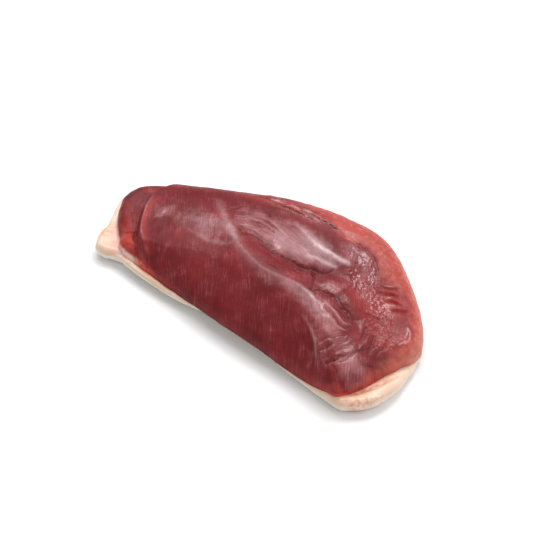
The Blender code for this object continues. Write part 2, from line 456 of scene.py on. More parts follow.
def skinMaterial():
    settings = skinAndFat
    values = {
        "Roughness": 0.42,
        "Subsurface Weight": 0.25,
        "Subsurface Radius": (0.006, 0.003, 0.0018),
        "Subsurface Scale": 0.5,
        "Coat Weight": 0.15,
        "Coat Roughness": 0.25,
    }
    material, tree, shader = newMaterial("duckSkinAndFat", values)
    where = millimetres(tree)
    broad = noise(tree, where, 0.09, 3.0)
    fine = noise(tree, where, 0.5, 3.0)
    mask = {}
    for layer in ("underside", "blush", "innerFat", "pinkFilm", "redSeam"):
        mask[layer] = painted(tree, layer).outputs["Fac"]
    colour = blend(
        tree, ramp(tree, broad, 0.35, 0.65), tint(settings["deepFatTint"]), tint(settings["fatTint"])
    )
    colour = blend(tree, mask["innerFat"], colour, tint(settings["innerFatTint"]))
    colour = blend(tree, mask["underside"], colour, tint(settings["skinTint"]))
    blush = sums(tree, "MULTIPLY", mask["blush"], ramp(tree, fine, 0.42, 0.62))
    colour = blend(tree, sums(tree, "MULTIPLY", blush, 0.7), colour, tint(settings["blushTint"]))
    colour = blend(tree, mask["pinkFilm"], colour, tint(settings["filmTint"]))
    seam = sums(tree, "MULTIPLY", mask["redSeam"], ramp(tree, fine, 0.35, 0.6, 0.1, 0.8))
    colour = blend(tree, seam, colour, tint(settings["seamTint"]))
    tree.links.new(colour, shader.inputs["Base Color"])

    # faint pits where the feathers grew, on the skin side
    inputs = {"Vector": where, "Scale": settings["pitsPerMm"], "Randomness": 0.55}
    pits = addNode(tree, "ShaderNodeTexVoronoi", inputs, feature="F1").outputs["Distance"]
    pits = sums(tree, "MULTIPLY", ramp(tree, pits, 0.0, 0.32), mask["underside"])
    height = sums(tree, "MULTIPLY_ADD", fine, 0.35, sums(tree, "MULTIPLY", pits, 0.5))
    roughen(tree, shader, height, *settings["bump"])
    return material


def makeSkin():
    settings = skinAndFat
    bm, ball = puffedGrid(settings["cuts"], settings["flatShare"], openBelow=False)
    x, y = spread(skinEdge, ball)
    inside = np.maximum(insideEdge(skinEdge, x, y), 0)
    half = skinThickness(x, y) / 2
    rounding = np.sqrt(1 - np.clip(1 - inside / (2 * half * settings["rounding"]), 0, 1) ** 2)
    upper = ball[:, 2] > 0

    relief = settings["unevenness"] * mottles(x, y, settings["unevenLength"], seed=11)
    for halfWidth, points in settings["folds"].values():
        relief += fold(x, y, halfWidth, points)
    relief *= softStep(inside / settings["edgeFade"])
    top = skinLift(x, y) + half * (1 + rounding) + relief
    bottom = skinUnderside(x, y) + half * (1 - rounding)
    z = np.where(upper, top, bottom)

    skinStart, sharpness = settings["skinSide"]
    red = fold(x, y, *settings["redSeam"]) + fold(x, y, *settings["redThreads"])
    paint = {
        "underside": softStep(skinStart - ball[:, 2] * sharpness),
        "blush": patch(x, y, settings["blush"]),
        "innerFat": patch(x, y, settings["innerFat"]) * upper,
        "pinkFilm": patch(x, y, settings["pinkFilm"]) * upper,
        "redSeam": upper * np.clip(red, 0, 1),
    }
    return makePiece("skinAndFatLayer", bm, np.stack([x, y, z], 1), skinMaterial(), paint)


# Breast muscle

breastMuscle = {
    "cuts": (340, 196, 14),  # squares along x, y and z
    "flatShare": 0.95,
    "gap": -0.35,  # above the skin: the meat sinks in a little
    "lip": 0.3,  # rounding of the lower edge
    "middle": 17.0,  # thickness away from the edge
    "shoulderReach": 1.1,  # times the plan's distance to full thickness
    "shoulderPower": 2.5,  # higher makes the shoulder squarer
    # the strip at the narrow end is thinner, and past this line the meat steps up
    "stepLine": [
        (-60, 54),
        (-70, 34),
        (-77, 14),
        (-77, 3),
        (-74, -4),
        (-70, -12),
        (-65, -20),
        (-54, -31),
        (-42, -44),
    ],
    "stripThickness": 8.5,
    "stepShare": 0.6,
    "stepWidth": 2.6,
    "stepRun": 24.0,
    "waviness": 0.3,  # height of the broad uneven swells
    "wavinessLength": 11.0,
    "roughHeight": 0.45,
    "roughLength": 2.7,
    "roughPatchLength": 7.0,
    "grainHeight": 0.2,
    "grainLength": 1.1,
    "bend": (0.6, 3.0),  # how far the drawn creases wander, over what length
    "cutDepth": 1.2,  # a crease this deep gets full painted shade at the bottom, and the pinhole is this deep
    "bump": (0.6, 0.4),  # strength, depth in mm
    "rimFade": 3.0,  # the fine relief dies out this far from the rim
    "rimTintReach": 7.0,  # how far in the lighter rim colour goes
    # soft swellings: half width, then x, y, height
    "swellings": {
        "keelCrest": (
            13.0,
            [(-45, 13, 2), (-23, 3, 4), (-3, -9, 5), (19, -13, 5), (41, -18, 4.5), (57, -30, 3)],
        ),
        "rearLobe": (10.0, [(-31, 34, 2), (-9, 29, 3.5), (13, 23, 5), (29, 18, 4.4), (39, 13, 3.4)]),
        "broadEnd": (19.0, [(55, 30, -4), (70, 12, -5.5), (78, -10, -6), (76, -32, -6)]),
        "cleftValley": (
            5.0,
            [(-14, 4, -0.3), (0, 3, -0.7), (12, 0, -1.1), (22, 0, -1.3), (30, 3, -1.2), (39, 8, -0.5)],
        ),
        "sideValley": (
            4.0,
            [(33, -9, -0.3), (44, -9, -0.8), (54, -12, -1.0), (62, -16, -0.7), (68, -22, -0.3)],
        ),
        "keelRidge": (
            3.0,
            [
                (-40, 19, 0.2),
                (-27, 7, 0.4),
                (-14, -4, 0.5),
                (6, -13, 0.4),
                (28, -14, 0.6),
                (40, -18, 0.4),
            ],
        ),
        "frontCrest": (2.2, [(40, -28, 0.2), (50, -36, 0.4), (57, -44, 0.4), (63, -48, 0.2)]),
        "frontHollow": (3.0, [(36, -30, -0.2), (46, -38, -0.5), (53, -45, -0.4)]),
        "stepLip": (
            1.6,
            [
                (-74, 12, 0.1),
                (-74, 3, 0.3),
                (-71.5, -4, 0.4),
                (-68, -12, 0.4),
                (-63, -18, 0.4),
                (-57, -25, 0.3),
            ],
        ),
        "stripRoll": (4.5, [(-85, 6, 0.2), (-81, -8, 0.4), (-76, -19, 0.3), (-70, -26, 0.1)]),
        "redStrip": (3.0, [(-8, -2, 0.3), (4, -5, 0.7), (14, -7, 0.8), (22, -7, 0.5)]),
        "sideLobe": (4.5, [(34, -3, 0.3), (43, -1, 1.0), (52, -5, 0.9), (57, -8, 0.4)]),
        "tipHollow": (4.0, [(60, -27, -0.3), (66, -33, -0.9), (70, -40, -0.9), (74, -46, -0.4)]),
        "tipFacet": (4.0, [(72, -34, 0.5), (75, -40, 0.8), (76, -45, 0.3)]),
        "streakRidge": (2.6, [(6, 23, 0.2), (20, 16, 0.8), (32, 14, 0.9), (41, 16, 0.3)]),
        "rimBand": (5.0, [(38, 39, 0.4), (56, 28, 0.8), (70, 20, 0.8), (82, 4, 0.6)]),
    },
    # narrow cuts and creases: half width, then x, y, height; the deep ones get painted shade at the
    # bottom
    "folds": {
        "mainCrack": (
            1.05,
            [
                (-17, 1, -0.1),
                (-12, 4.5, -0.4),
                (-6, 4.5, -0.6),
                (1, 2.5, -0.8),
                (8, 2, -0.9),
                (15, 1.5, -0.9),
                (21, 1, -1.2),
                (24, 2, -1.4),
                (27, 4, -1.4),
                (30.5, 3, -1.4),
                (34, 4.5, -1.0),
                (36, 8, -0.4),
            ],
        ),
        "crackLip": (0.7, [(-5, 2, 0.3), (5, 0.5, 0.6), (12, 0, 0.6), (17, -0.5, 0.4)]),
        "lensA": (0.7, [(-2, -3, 0.2), (4, -2, -0.5), (10, -3, -0.6), (14, -5.5, -0.2)]),
        "lensB": (0.7, [(8, -6.5, -0.2), (14, -6, -0.7), (20, -5, -0.8), (25, -3, -0.4)]),
        "lensC": (0.7, [(3, -8, 0.3), (12, -9.5, 0.5), (22, -9.5, 0.5), (30, -9, 0.3)]),
        "thinCrack": (
            0.6,
            [(30, -14, -0.2), (34.5, -12.5, -0.8), (41, -8.5, -0.9), (44.5, -8.5, -1.0)],
        ),
        "branchCrack": (0.6, [(27, 3, -1.2), (31, -3, -1.0), (34, -9, -0.7), (35, -12, -0.5)]),
        "sideCrack": (
            0.6,
            [
                (44, -9, -0.5),
                (47, -8, -1.0),
                (51, -11, -1.1),
                (55, -12, -0.9),
                (59, -13.5, -0.7),
                (62, -12, -0.2),
            ],
        ),
        "sideBranch": (0.6, [(46.5, -7.5, -1.0), (47.5, -3, -0.8), (48, 2, -0.5), (49, 5, -0.2)]),
        "lensCrack": (0.5, [(46, -14.5, -0.3), (52, -15.5, -0.8), (57, -15, -0.9), (60, -14, -0.3)]),
        "lensLip": (
            0.7,
            [(45, -16.5, 0.2), (50, -17, 0.5), (54, -19, 0.5), (58, -20, 0.4), (60, -18, 0.2)],
        ),
        "lensCut": (0.7, [(47, -18.5, -0.3), (52, -20, -0.9), (57, -22.5, -0.9), (62, -22, -0.3)]),
        "frontLine": (
            0.7,
            [
                (39, -28, 0.1),
                (45, -31.5, 0.2),
                (50.5, -36, 0.25),
                (54, -40.5, 0.25),
                (57, -44.5, 0.2),
                (63, -48, 0.1),
            ],
        ),
        "frontGroove": (0.8, [(40, -30, -0.1), (48, -36.5, -0.3), (53, -42.5, -0.3), (58, -48, -0.1)]),
        "tipCrease": (
            0.7,
            [(61, -46, -0.3), (62.6, -43.6, -1.2), (66.3, -37.5, -1.3), (68, -34, -0.4)],
        ),
        "tipCreaseB": (0.6, [(66, -42, -0.2), (68.2, -38.7, -0.7), (71, -30, -0.8), (74, -25, -0.5)]),
        "tipCreaseC": (0.5, [(63.5, -36, -0.6), (66.6, -27, -0.5), (69, -22, -0.2)]),
        "tipCreaseD": (0.5, [(52, -39, -0.1), (57, -32, -0.4), (61, -26.5, -0.4), (64, -23, -0.1)]),
        "tipCreaseE": (0.5, [(57, -40, -0.2), (61, -33, -0.5), (64.5, -27, -0.4)]),
        "tipLineA": (0.5, [(55, -37.5, 0.2), (57, -41.5, 0.4), (62.5, -48, 0.3)]),
        "tipLineB": (0.5, [(58.5, -37, -0.3), (62, -44, -0.5), (66.5, -49.5, -0.3)]),
        "tipLineC": (0.5, [(64, -45, 0.2), (67, -47.5, 0.4), (70, -50, 0.3)]),
        "tipLineD": (0.5, [(66.5, -44, -0.3), (69.5, -46.5, -0.5), (72.5, -49, -0.3)]),
        "tipLineE": (0.5, [(71.5, -40.5, 0.3), (73, -44, 0.4), (74.5, -47.5, 0.2)]),
        "sideFoldA": (0.7, [(75.5, -27.5, -0.4), (74, -22, -1.0), (73, -16, -0.6)]),
        "sideFoldB": (0.7, [(71.5, -28, 0.3), (71.5, -22, 0.6), (70.5, -16, 0.3)]),
        "sideFoldC": (0.7, [(69, -25, -0.3), (68.5, -19, -0.9), (67, -14, -0.5)]),
        "sideFoldD": (0.6, [(80, -30, -0.2), (79, -24, -0.7), (80, -18, -0.6), (79, -12, -0.2)]),
        "sideFoldE": (0.6, [(73, -33, -0.2), (78, -33, -0.6), (82, -30, -0.3)]),
        "sideFoldF": (0.6, [(60, -4, -0.2), (64, -6, -0.7), (69, -5, -0.7), (73, -7, -0.2)]),
        "barA": (0.9, [(60, 11, 0.1), (62.5, 12.5, 0.6), (66, 14, 0.7), (69.5, 15, 0.2)]),
        "barB": (0.9, [(64.5, 10, 0.1), (67, 10.7, 0.7), (71, 10.8, 0.7), (74, 10, 0.2)]),
        "barC": (0.9, [(69.5, 5, 0.1), (72.5, 6, 0.7), (76, 7.5, 0.7), (79, 9, 0.2)]),
        "barCutA": (0.5, [(61, 9.5, -0.3), (65, 11.5, -0.7), (70, 13, -0.4)]),
        "barCutB": (0.5, [(66, 8, -0.3), (70, 8.5, -0.7), (75, 9, -0.4)]),
        "barCutC": (0.5, [(71, 3.5, -0.3), (75, 4.5, -0.6), (79, 6.5, -0.3)]),
        "barLip": (0.7, [(60, 15, 0.4), (63, 16.5, 0.5), (67, 18, 0.4)]),
        "stripCreaseA": (0.7, [(-83, 8, -0.1), (-81, -2, -0.5), (-76, -10, -0.5), (-72, -16, -0.2)]),
        "stripCreaseB": (0.6, [(-80, 12, -0.2), (-79.5, 2, -0.5), (-77, -6, -0.5), (-73, -13, -0.2)]),
        "stripCross": (0.5, [(-78, -20, -0.2), (-73, -16.5, -0.8), (-69, -14, -0.5)]),
        "stepCrevice": (
            0.6,
            [
                (-79, 10, -0.2),
                (-78.5, 1, -0.6),
                (-75.5, -6, -0.9),
                (-71.5, -14, -1.1),
                (-67, -21, -1.0),
                (-62, -27, -0.5),
            ],
        ),
        "rearStreakA": (
            0.7,
            [(-20, 7, -0.2), (-15, 4.5, -0.5), (-11, 6.5, -0.9), (-5, 5.5, -0.9), (0, 4, -0.4)],
        ),
        "rearStreakB": (0.7, [(-20, 9, -0.2), (-12.5, 9, -0.7), (-6, 8, -0.7), (0, 6.5, -0.4)]),
        "rearStreakC": (0.7, [(-23, 9.5, 0.2), (-16, 12.5, 0.5), (-10, 12.5, 0.5), (-1, 9.5, 0.3)]),
        "rearStreakD": (0.6, [(-25, 12, -0.2), (-17, 16, -0.5), (-9, 16, -0.5), (0, 12.5, -0.3)]),
        "rearStreakE": (0.6, [(-28, 14, 0.2), (-20, 19, 0.4), (-10, 20, 0.4), (0, 16.5, 0.2)]),
        "rearStreakF": (0.6, [(-33, 15, -0.2), (-30, 21, -0.5), (-25, 25, -0.5), (-17, 25.5, -0.2)]),
        "rearTearA": (
            1.0,
            [(-22, 31, -0.3), (-13, 33, -0.8), (-4, 33, -1.1), (5, 33.5, -0.9), (11, 33, -0.4)],
        ),
        "rearTearB": (0.9, [(-2, 36.5, -0.4), (4, 37.5, -0.9), (9, 36, -0.8), (13, 36.5, -0.3)]),
        "rearTearE": (
            0.8,
            [(12, 34, -0.3), (16, 36, -0.8), (21, 34.5, -0.9), (25, 35, -0.5), (29, 32.5, -0.3)],
        ),
        "rearTearF": (0.7, [(-26, 34, -0.2), (-20, 35.5, -0.6), (-14, 35, -0.5), (-9, 36.5, -0.6)]),
        "rearTearG": (
            0.8,
            [(-24, 37, 0.3), (-17, 38, 0.6), (-10, 38.5, 0.3), (-3, 40, 0.5), (4, 40.5, 0.3)],
        ),
        "rearTearC": (0.8, [(-12, 34, 0.5), (-4, 35, 0.9), (3, 34, 0.7), (8, 33.5, 0.3)]),
        "rearTearD": (0.8, [(6, 38, 0.3), (13, 37, 0.9), (21, 35.5, 0.7)]),
        "bandEdge": (
            0.9,
            [(30, 31, -0.3), (38, 31, -0.6), (45, 29.5, -0.6), (51, 25.5, -0.6), (55, 19.5, -0.4)],
        ),
    },
    # a small pit, painted dark inside as shade
    "pinhole": [(43, 19.4, 0.8, 0.8, 0, 0.8)],
    # wet, roughly cut places: x, y, half length, half width, turn, strength
    "roughCut": [
        (41, 24, 17, 7, -10, 0.9),
        (52, 12, 13, 9, -50, 1.0),
        (68, -2, 18, 12, -45, 0.8),
        (79, -16, 13, 9, -60, 0.7),
        (66, -22, 9, 8, 0, 0.35),
        (8, 36, 22, 4.5, 3, 1.0),
        (-72, -21, 6, 4, -50, 0.5),
        (12, -5, 14, 3, -10, 0.5),
        (34, -2, 15, 7, -20, 0.55),
        (52, -15, 12, 6, -30, 0.5),
    ],
    "wet": [
        (41, 24, 14, 6, -10, 0.6),
        (50, 12, 9, 7, -50, 0.55),
        (24, 13, 14, 7, -12, 0.6),
        (8, 34, 24, 5, 3, 0.9),
        (-65, 0, 4, 4, 60, 0.6),
        (-62, 2, 6, 5, 60, 0.5),
        (66, 2, 9, 8, -40, 0.55),
        (78, -10, 9, 7, -60, 0.22),
        (84, -22, 8, 7, -60, 0.2),
        (66, -22, 8, 7, 0, 0.4),
        (70, -38, 10, 8, -50, 0.3),
        (52, -12, 11, 6, -20, 0.5),
        (32, -3, 16, 7, -15, 0.3),
    ],
    # pale membrane over the muscle
    "membrane": [
        (-48, 2, 19, 7, 0, 0.28),
        (-62, 2, 6, 5, 60, 0.25),
        (-30, 0, 14, 8, -28, 0.5),
        (-14, 15, 17, 10, -20, 0.5),
        (8, 14, 15, 9, -12, 0.9),
        (26, 12, 10, 6, -12, 1.0),
        (40, 24, 13, 6, -15, 0.65),
        (51, 14, 6, 7, -30, 0.45),
        (25, -19, 24, 4.5, -6, 0.3),
        (61, -44, 8, 4, -45, 0.3),
        (50, -24, 14, 7, -40, 0.7),
        (42, -2, 7, 5, -10, 0.38),
        (56, 3, 6, 5, -10, 0.45),
        (66, -33, 8, 6, -45, 0.4),
        (74, -38, 7, 7, -60, 0.6),
    ],
    # white sinew and painted glints (the glint, loop and tear strokes, the lobe speck): half width,
    # then x, y, strength
    "sinewsAndGlints": {
        "keelTop": (
            2.0,
            [
                (-41, 20, 0.1),
                (-35, 14, 0.2),
                (-29, 8.5, 0.3),
                (-22, 3, 0.4),
                (-17, -1, 0.35),
                (-14, -3.5, 0.2),
            ],
        ),
        "keelMiddle": (
            1.0,
            [
                (-17, -1, 0.25),
                (-13, -4.5, 0.3),
                (-4, -9, 0.25),
                (6, -13, 0.2),
                (17, -14, 0.2),
                (27, -14, 0.3),
            ],
        ),
        "keelHaze": (
            3.0,
            [(-17, -2, 0.12), (-4, -10, 0.12), (10, -15, 0.12), (27, -16, 0.2), (38, -21, 0.15)],
        ),
        "keelEnd": (
            1.2,
            [(27, -14, 0.3), (32, -14.5, 0.5), (36, -16, 0.6), (39.5, -18, 0.5), (42, -20.5, 0.2)],
        ),
        "plateauThread": (
            1.2,
            [(-42, -6, 0.1), (-34, -7, 0.18), (-28, -8, 0.2), (-20, -7, 0.15), (-14.5, -5, 0.1)],
        ),
        # whitish fascia streaks on the lobe, partly a painted highlight
        "lobeStreak": (
            1.6,
            [
                (4, 24, 0.15),
                (9, 21.5, 0.25),
                (14, 19, 0.5),
                (20.5, 15.5, 0.9),
                (24, 15, 1.0),
                (29, 14, 0.9),
                (34, 14, 0.9),
                (40, 15.5, 0.7),
            ],
        ),
        "lobeHaze": (3.4, [(10, 21, 0.2), (18, 16, 0.5), (26, 13, 0.5), (34, 12, 0.3)]),
        "lobeStreakLow": (1.1, [(20, 9, 0.4), (25, 10, 0.7), (30.5, 9.5, 0.9), (36, 10, 0.7)]),
        # painted glint
        "lobeGlint": (0.8, [(2, 8, 0.6), (4.5, 7, 0.7)]),
        "frontLine": (
            0.5,
            [(39, -28, 0.1), (45, -31.5, 0.2), (50.5, -36, 0.25), (54, -40.5, 0.25), (57, -44.5, 0.1)],
        ),
        "lensLine": (
            0.6,
            [(44, -15, 0.2), (50, -17, 0.45), (54, -19, 0.5), (58, -20, 0.4), (60, -18, 0.2)],
        ),
        "lensLineB": (0.5, [(50, -21, 0.2), (56, -24, 0.4), (60, -23, 0.3)]),
        # painted glints in a loop on the wet broad end
        "loopGlintA": (0.3, [(83.5, -2, 0.7), (85, -5, 0.8), (85.5, -8, 0.6)]),
        "loopGlintB": (0.3, [(83.5, -2, 0.7), (86, -4, 0.8), (87.5, -8, 0.7), (87, -11, 0.5)]),
        "loopGlintC": (0.4, [(86.5, -10, 0.8), (85, -13, 0.6)]),
        # painted glints on the bars
        "barGlintA": (0.45, [(65.5, 9, 0.3), (66.5, 10, 0.6), (67.5, 10.6, 0.3)]),
        "barGlintB": (0.45, [(69.5, 6.8, 0.5), (71.5, 7.4, 0.6)]),
        "barGlintC": (0.45, [(61.5, 15.8, 0.3), (63, 16.5, 0.5), (65, 17.5, 0.3)]),
        "stepEdge": (
            0.45,
            [(-76, 8, 0.1), (-74, -1, 0.35), (-70.5, -9, 0.35), (-66, -16, 0.3), (-60, -22, 0.1)],
        ),
        # painted glints on the torn rear edge
        "tearBitGlints": (0.7, [(5, 36.5, 0.5), (9, 36, 0.8), (12, 34.5, 0.4)]),
        "tearGlintA": (0.7, [(-18, 36.5, 0.3), (-15, 37, 0.8), (-12, 36.8, 0.3)]),
        "tearGlintB": (0.6, [(-6, 37.8, 0.4), (-4, 37.5, 0.7), (-1, 37, 0.4)]),
        "tearGlintC": (0.7, [(1, 38.6, 0.4), (3, 39, 0.8), (5.5, 39, 0.4)]),
    },
    # bright raw red: half width, then x, y, strength
    "rawEdges": {
        "step": (
            1.8,
            [
                (-75, 9, 0.2),
                (-73.5, 1, 0.5),
                (-71, -5, 0.6),
                (-67, -13, 0.5),
                (-61, -20, 0.4),
                (-54, -26.5, 0.3),
            ],
        ),
        "stepLow": (
            1.1,
            [(-60, -27, 0.5), (-55, -30, 0.6), (-48, -32.5, 0.6), (-38, -34, 0.4), (-28, -36, 0.1)],
        ),
        "tip": (
            1.6,
            [
                (71, -51, 0.7),
                (76, -49, 0.8),
                (80, -43, 0.8),
                (82, -36, 0.7),
                (86, -26, 0.5),
                (89, -14, 0.4),
            ],
        ),
        "frontTip": (
            0.6,
            [(46, -47.5, 0.1), (52, -49, 0.3), (59, -50.5, 0.4), (66, -51.5, 0.6), (72, -51.5, 0.9)],
        ),
        "barA": (1.0, [(62, 12.5, 0.6), (69, 15, 0.5)]),
        "barB": (1.0, [(66, 10.7, 0.7), (73, 10.5, 0.6)]),
        "barC": (1.0, [(71.5, 6, 0.7), (78, 8.5, 0.6)]),
        "lensCut": (0.9, [(49, -18, 0.5), (54, -20.5, 0.8), (58, -21.5, 0.6)]),
        "rearRim": (2.0, [(-30, 36, 0.2), (-12, 37, 0.6), (6, 37, 0.6), (22, 39, 0.6), (36, 39, 0.4)]),
    },
    # wet red low on the rim, partly painted light over the shade where the meat meets the fat, and
    # pale film low on the rim: how far up above the fat each reaches, then where
    "redRimsWithPaintedLight": [
        (2.6, [(76, -50, 8, 5, 30, 0.9), (84, -38, 9, 5, 65, 0.6)]),
        (5.0, [(-56, -31, 9, 5, -12, 0.9)]),
        (4.0, [(-8, 41, 9, 6, 0, 0.5), (14, 42, 10, 6, 0, 0.5)]),
    ],
    "paleRims": [
        (7.0, [(46, 49, 15, 6, -20, 0.45), (66, 31, 12, 6, -48, 0.55)]),
        (4.5, [(82, 11, 12, 6, -62, 0.35), (92, -6, 8, 6, -80, 0.2)]),
        (3.0, [(-88, 0, 18, 8, -80, 0.3)]),
        (4.4, [(-68, -28, 9, 4.5, -5, 1.0)]),
    ],
    "rawPatches": [
        (-69, -25, 8, 5, -30, 1.0),
        (-76, -17, 8, 5, -60, 0.6),
        (-8, 35, 26, 4, 3, 0.5),
        (72, 6, 10, 6, -40, 0.4),
        (60, 0, 14, 9, -40, 0.35),
        (78, -12, 11, 8, -60, 0.45),
    ],
    # the smooth lighter rim lies left of this line, with a soft and wandering border
    "bandBlur": 7.0,
    "bandWander": 0.35,
    "bandWanderLength": 6.0,
    "bandLine": [
        (-40, 46),
        (-20, 49),
        (-6, 45),
        (4, 43),
        (18, 38),
        (30, 31.5),
        (38, 32),
        (45, 30.5),
        (51, 26.5),
        (55, 20),
        (63, 19),
        (72, 16),
        (79, 9),
        (83, 1),
        (86, -9),
        (86, -18),
        (84, -27),
        (82, -36),
        (80, -46),
    ],
    # darker meat, partly painted shade: the first two ovals paint a shadow over the rear-left top and
    # along the rear edge
    "darkAndShadedPatches": [
        (-50, 21, 26, 8.5, 14, 1.0),
        (-14, 29, 18, 6, 0, 0.5),
        (-52, -21, 8, 5, -60, 0.6),
        (-40, -22, 30, 8, -8, 0.3),
        (10, -30, 38, 10, -6, 0.7),
        (58, -12, 8, 8, 0, 0.5),
        (42, 6, 10, 4, 20, 0.5),
        (82, -25, 8, 8, 0, 0.1),
    ],
    # fibres: direction in degrees and the ovals they show in. The first set runs everywhere
    # else, and the rear set, without a direction, curves round a point instead.
    "fibreSets": {
        "front": (-58, []),
        "rear": (None, [(-10, 13, 24, 13, -20, 1.0), (20, 12, 18, 9, -10, 0.9)]),
        "fan": (62, [(61, -32, 10, 10, 0, 1.0)]),
        "side": (98, [(73, -20, 9, 9, 0, 1.0)]),
        "strip": (-68, [(-80, -4, 20, 8, -65, 1.0)]),
    },
    "rearArch": {"centre": (-8, -10), "stretch": 1.7, "radius": 30},  # what the rear set curves round
    "fibreBend": (1.2, 14.0),  # how far fibres wander, over what length
    "fibreScale": (0.07, 1.6, 0),  # fibres in each mm along them and across them
    "muscleTint": "851e22",
    "deepTint": "68151a",
    "membraneTint": "b07277",
    # pale sinew, also the colour of the painted glints
    "sinewAndGlintTint": "d6b9bb",
    "rawTint": "bc3f36",
    # red of the wet rim, partly painted light on its shade
    "litRimRedTint": "dc4c3d",
    "creamTint": "f2cfbf",
    "bandTint": "a9453f",
    "bandRimTint": "c87264",
    # painted shade at the bottom of cuts, creases and the pinhole
    "creaseShadeTint": "5a0f13",
}


def drawn(x, y, lines):
    # the lines' strengths, painted on the plan, 0 to 1
    total = np.zeros_like(x)
    for halfWidth, points in lines.values():
        total = np.maximum(total, fold(x, y, halfWidth, points, sharpness=2.0))
    return np.clip(total, 0, 1)


def fibres(x, y):
    # for each set: mm along the fibres, mm across them, and how much of that set shows
    bend, bendLength = breastMuscle["fibreBend"]
    wander = bend * mottles(x, y, bendLength, seed=21, layers=2)
    arch = breastMuscle["rearArch"]
    left = np.ones_like(x)
    layers = {}
    for name, (degrees, spots) in reversed(breastMuscle["fibreSets"].items()):
        if degrees is None:
            over, up = x - arch["centre"][0], y - arch["centre"][1]
            over = np.where(over > 0, over / arch["stretch"], over)
            along, across = arch["radius"] * np.arctan2(over, up), np.hypot(over, up)
        else:
            c, s = math.cos(math.radians(degrees)), math.sin(math.radians(degrees))
            along, across = x * c + y * s, y * c - x * s
        share = left * patch(x, y, spots) if spots else left
        left = left - share
        layers[name + "Fibres"] = np.stack([along, across + wander, share], 1)
    return layers


def fibreLines(tree):
    total = 0.0
    for name in breastMuscle["fibreSets"]:
        layer = painted(tree, name + "Fibres").outputs["Vector"]
        share = addNode(tree, "ShaderNodeSeparateXYZ", {0: layer}).outputs["Z"]
        inputs = {0: layer, 1: breastMuscle["fibreScale"]}
        stretched = addNode(tree, "ShaderNodeVectorMath", inputs, operation="MULTIPLY")
        lines = noise(tree, stretched.outputs[0], 1.0, 4.0, 0.65)
        total = sums(tree, "MULTIPLY_ADD", lines, share, total)
    return total


def muscleThickness(x, y):
    settings = breastMuscle
    full = np.full_like(x, settings["middle"])
    for halfWidth, points in settings["swellings"].values():
        full += swelling(x, y, halfWidth, points)
    step = curveThrough([(*point, 0) for point in settings["stepLine"]])
    away, _, side = nearestOn(step, x, y)
    rise = softStep(0.5 + side * away / settings["stepWidth"])
    run = softStep(side * away / settings["stepRun"])
    share = settings["stepShare"] * rise + (1 - settings["stepShare"]) * run
    strip = settings["stripThickness"]
    return strip + (full - strip) * share


def smoothBand(x, y):
    settings = breastMuscle
    line = curveThrough([(*point, 0) for point in settings["bandLine"]])
    away, _, side = nearestOn(line, x, y)
    wander = settings["bandWander"] * mottles(x, y, settings["bandWanderLength"], seed=61, layers=2)
    return softStep(0.5 + side * away / settings["bandBlur"] + wander)


def muscleRelief(x, y):
    # fine relief, painted shade in the cuts by how deep they are, and how rough the surface is
    settings = breastMuscle
    bend, bendLength = settings["bend"]
    bendX = x + bend * mottles(x, y, bendLength, seed=71, layers=2)
    bendY = y + bend * mottles(x, y, bendLength, seed=75, layers=2)
    relief = settings["waviness"] * mottles(x, y, settings["wavinessLength"], seed=34)
    cut = np.zeros_like(x)
    for halfWidth, points in settings["folds"].values():
        line = fold(bendX, bendY, halfWidth, points)
        relief += line
        cut = np.maximum(cut, np.clip(-line / settings["cutDepth"], 0, 1))
    hole = patch(x, y, settings["pinhole"])
    relief -= settings["cutDepth"] * hole
    cut = np.maximum(cut, hole)
    band = smoothBand(x, y)
    rough = patch(x, y, settings["roughCut"]) * (1 - 0.8 * band)
    patchy = 0.75 + 0.7 * mottles(x, y, settings["roughPatchLength"], seed=81, layers=2)
    rough *= np.clip(patchy, 0.1, 1.3)
    ridged = 0.6 - np.abs(mottles(bendX, bendY, settings["roughLength"], seed=31))
    grain = mottle(x / settings["grainLength"], y / settings["grainLength"], seed=38)
    relief += rough * (settings["roughHeight"] * ridged + settings["grainHeight"] * grain)
    return relief, cut, rough, band


def muscleTop(x, y):
    # height of the upper face, with its paint masks
    settings = breastMuscle
    inside = np.maximum(insideEdge(meatEdge, x, y), 0)
    base = skinTop(x, y) + settings["gap"]
    reach = edgeValue(meatEdge, angleOf(x, y), shoulderColumn) * settings["shoulderReach"]
    outward = np.clip(1 - inside / reach, 0, 1)
    shoulder = np.sqrt(1 - outward ** settings["shoulderPower"])
    lip = settings["lip"]
    relief, cut, rough, band = muscleRelief(x, y)
    relief *= softStep(inside / settings["rimFade"])
    top = base + lip + (muscleThickness(x, y) - lip) * shoulder + relief
    paint = {"cut": cut, "rough": rough, "band": band}
    paint["rim"] = softStep(1 - inside / settings["rimTintReach"])
    paint["above"] = top - base
    return top, paint


def muscleUnder(x, y):
    lip = breastMuscle["lip"]
    inside = np.maximum(insideEdge(meatEdge, x, y), 0)
    rounding = 1 - np.sqrt(1 - np.clip(1 - inside / lip, 0, 1) ** 2)
    return skinTop(x, y) + breastMuscle["gap"] + lip * rounding


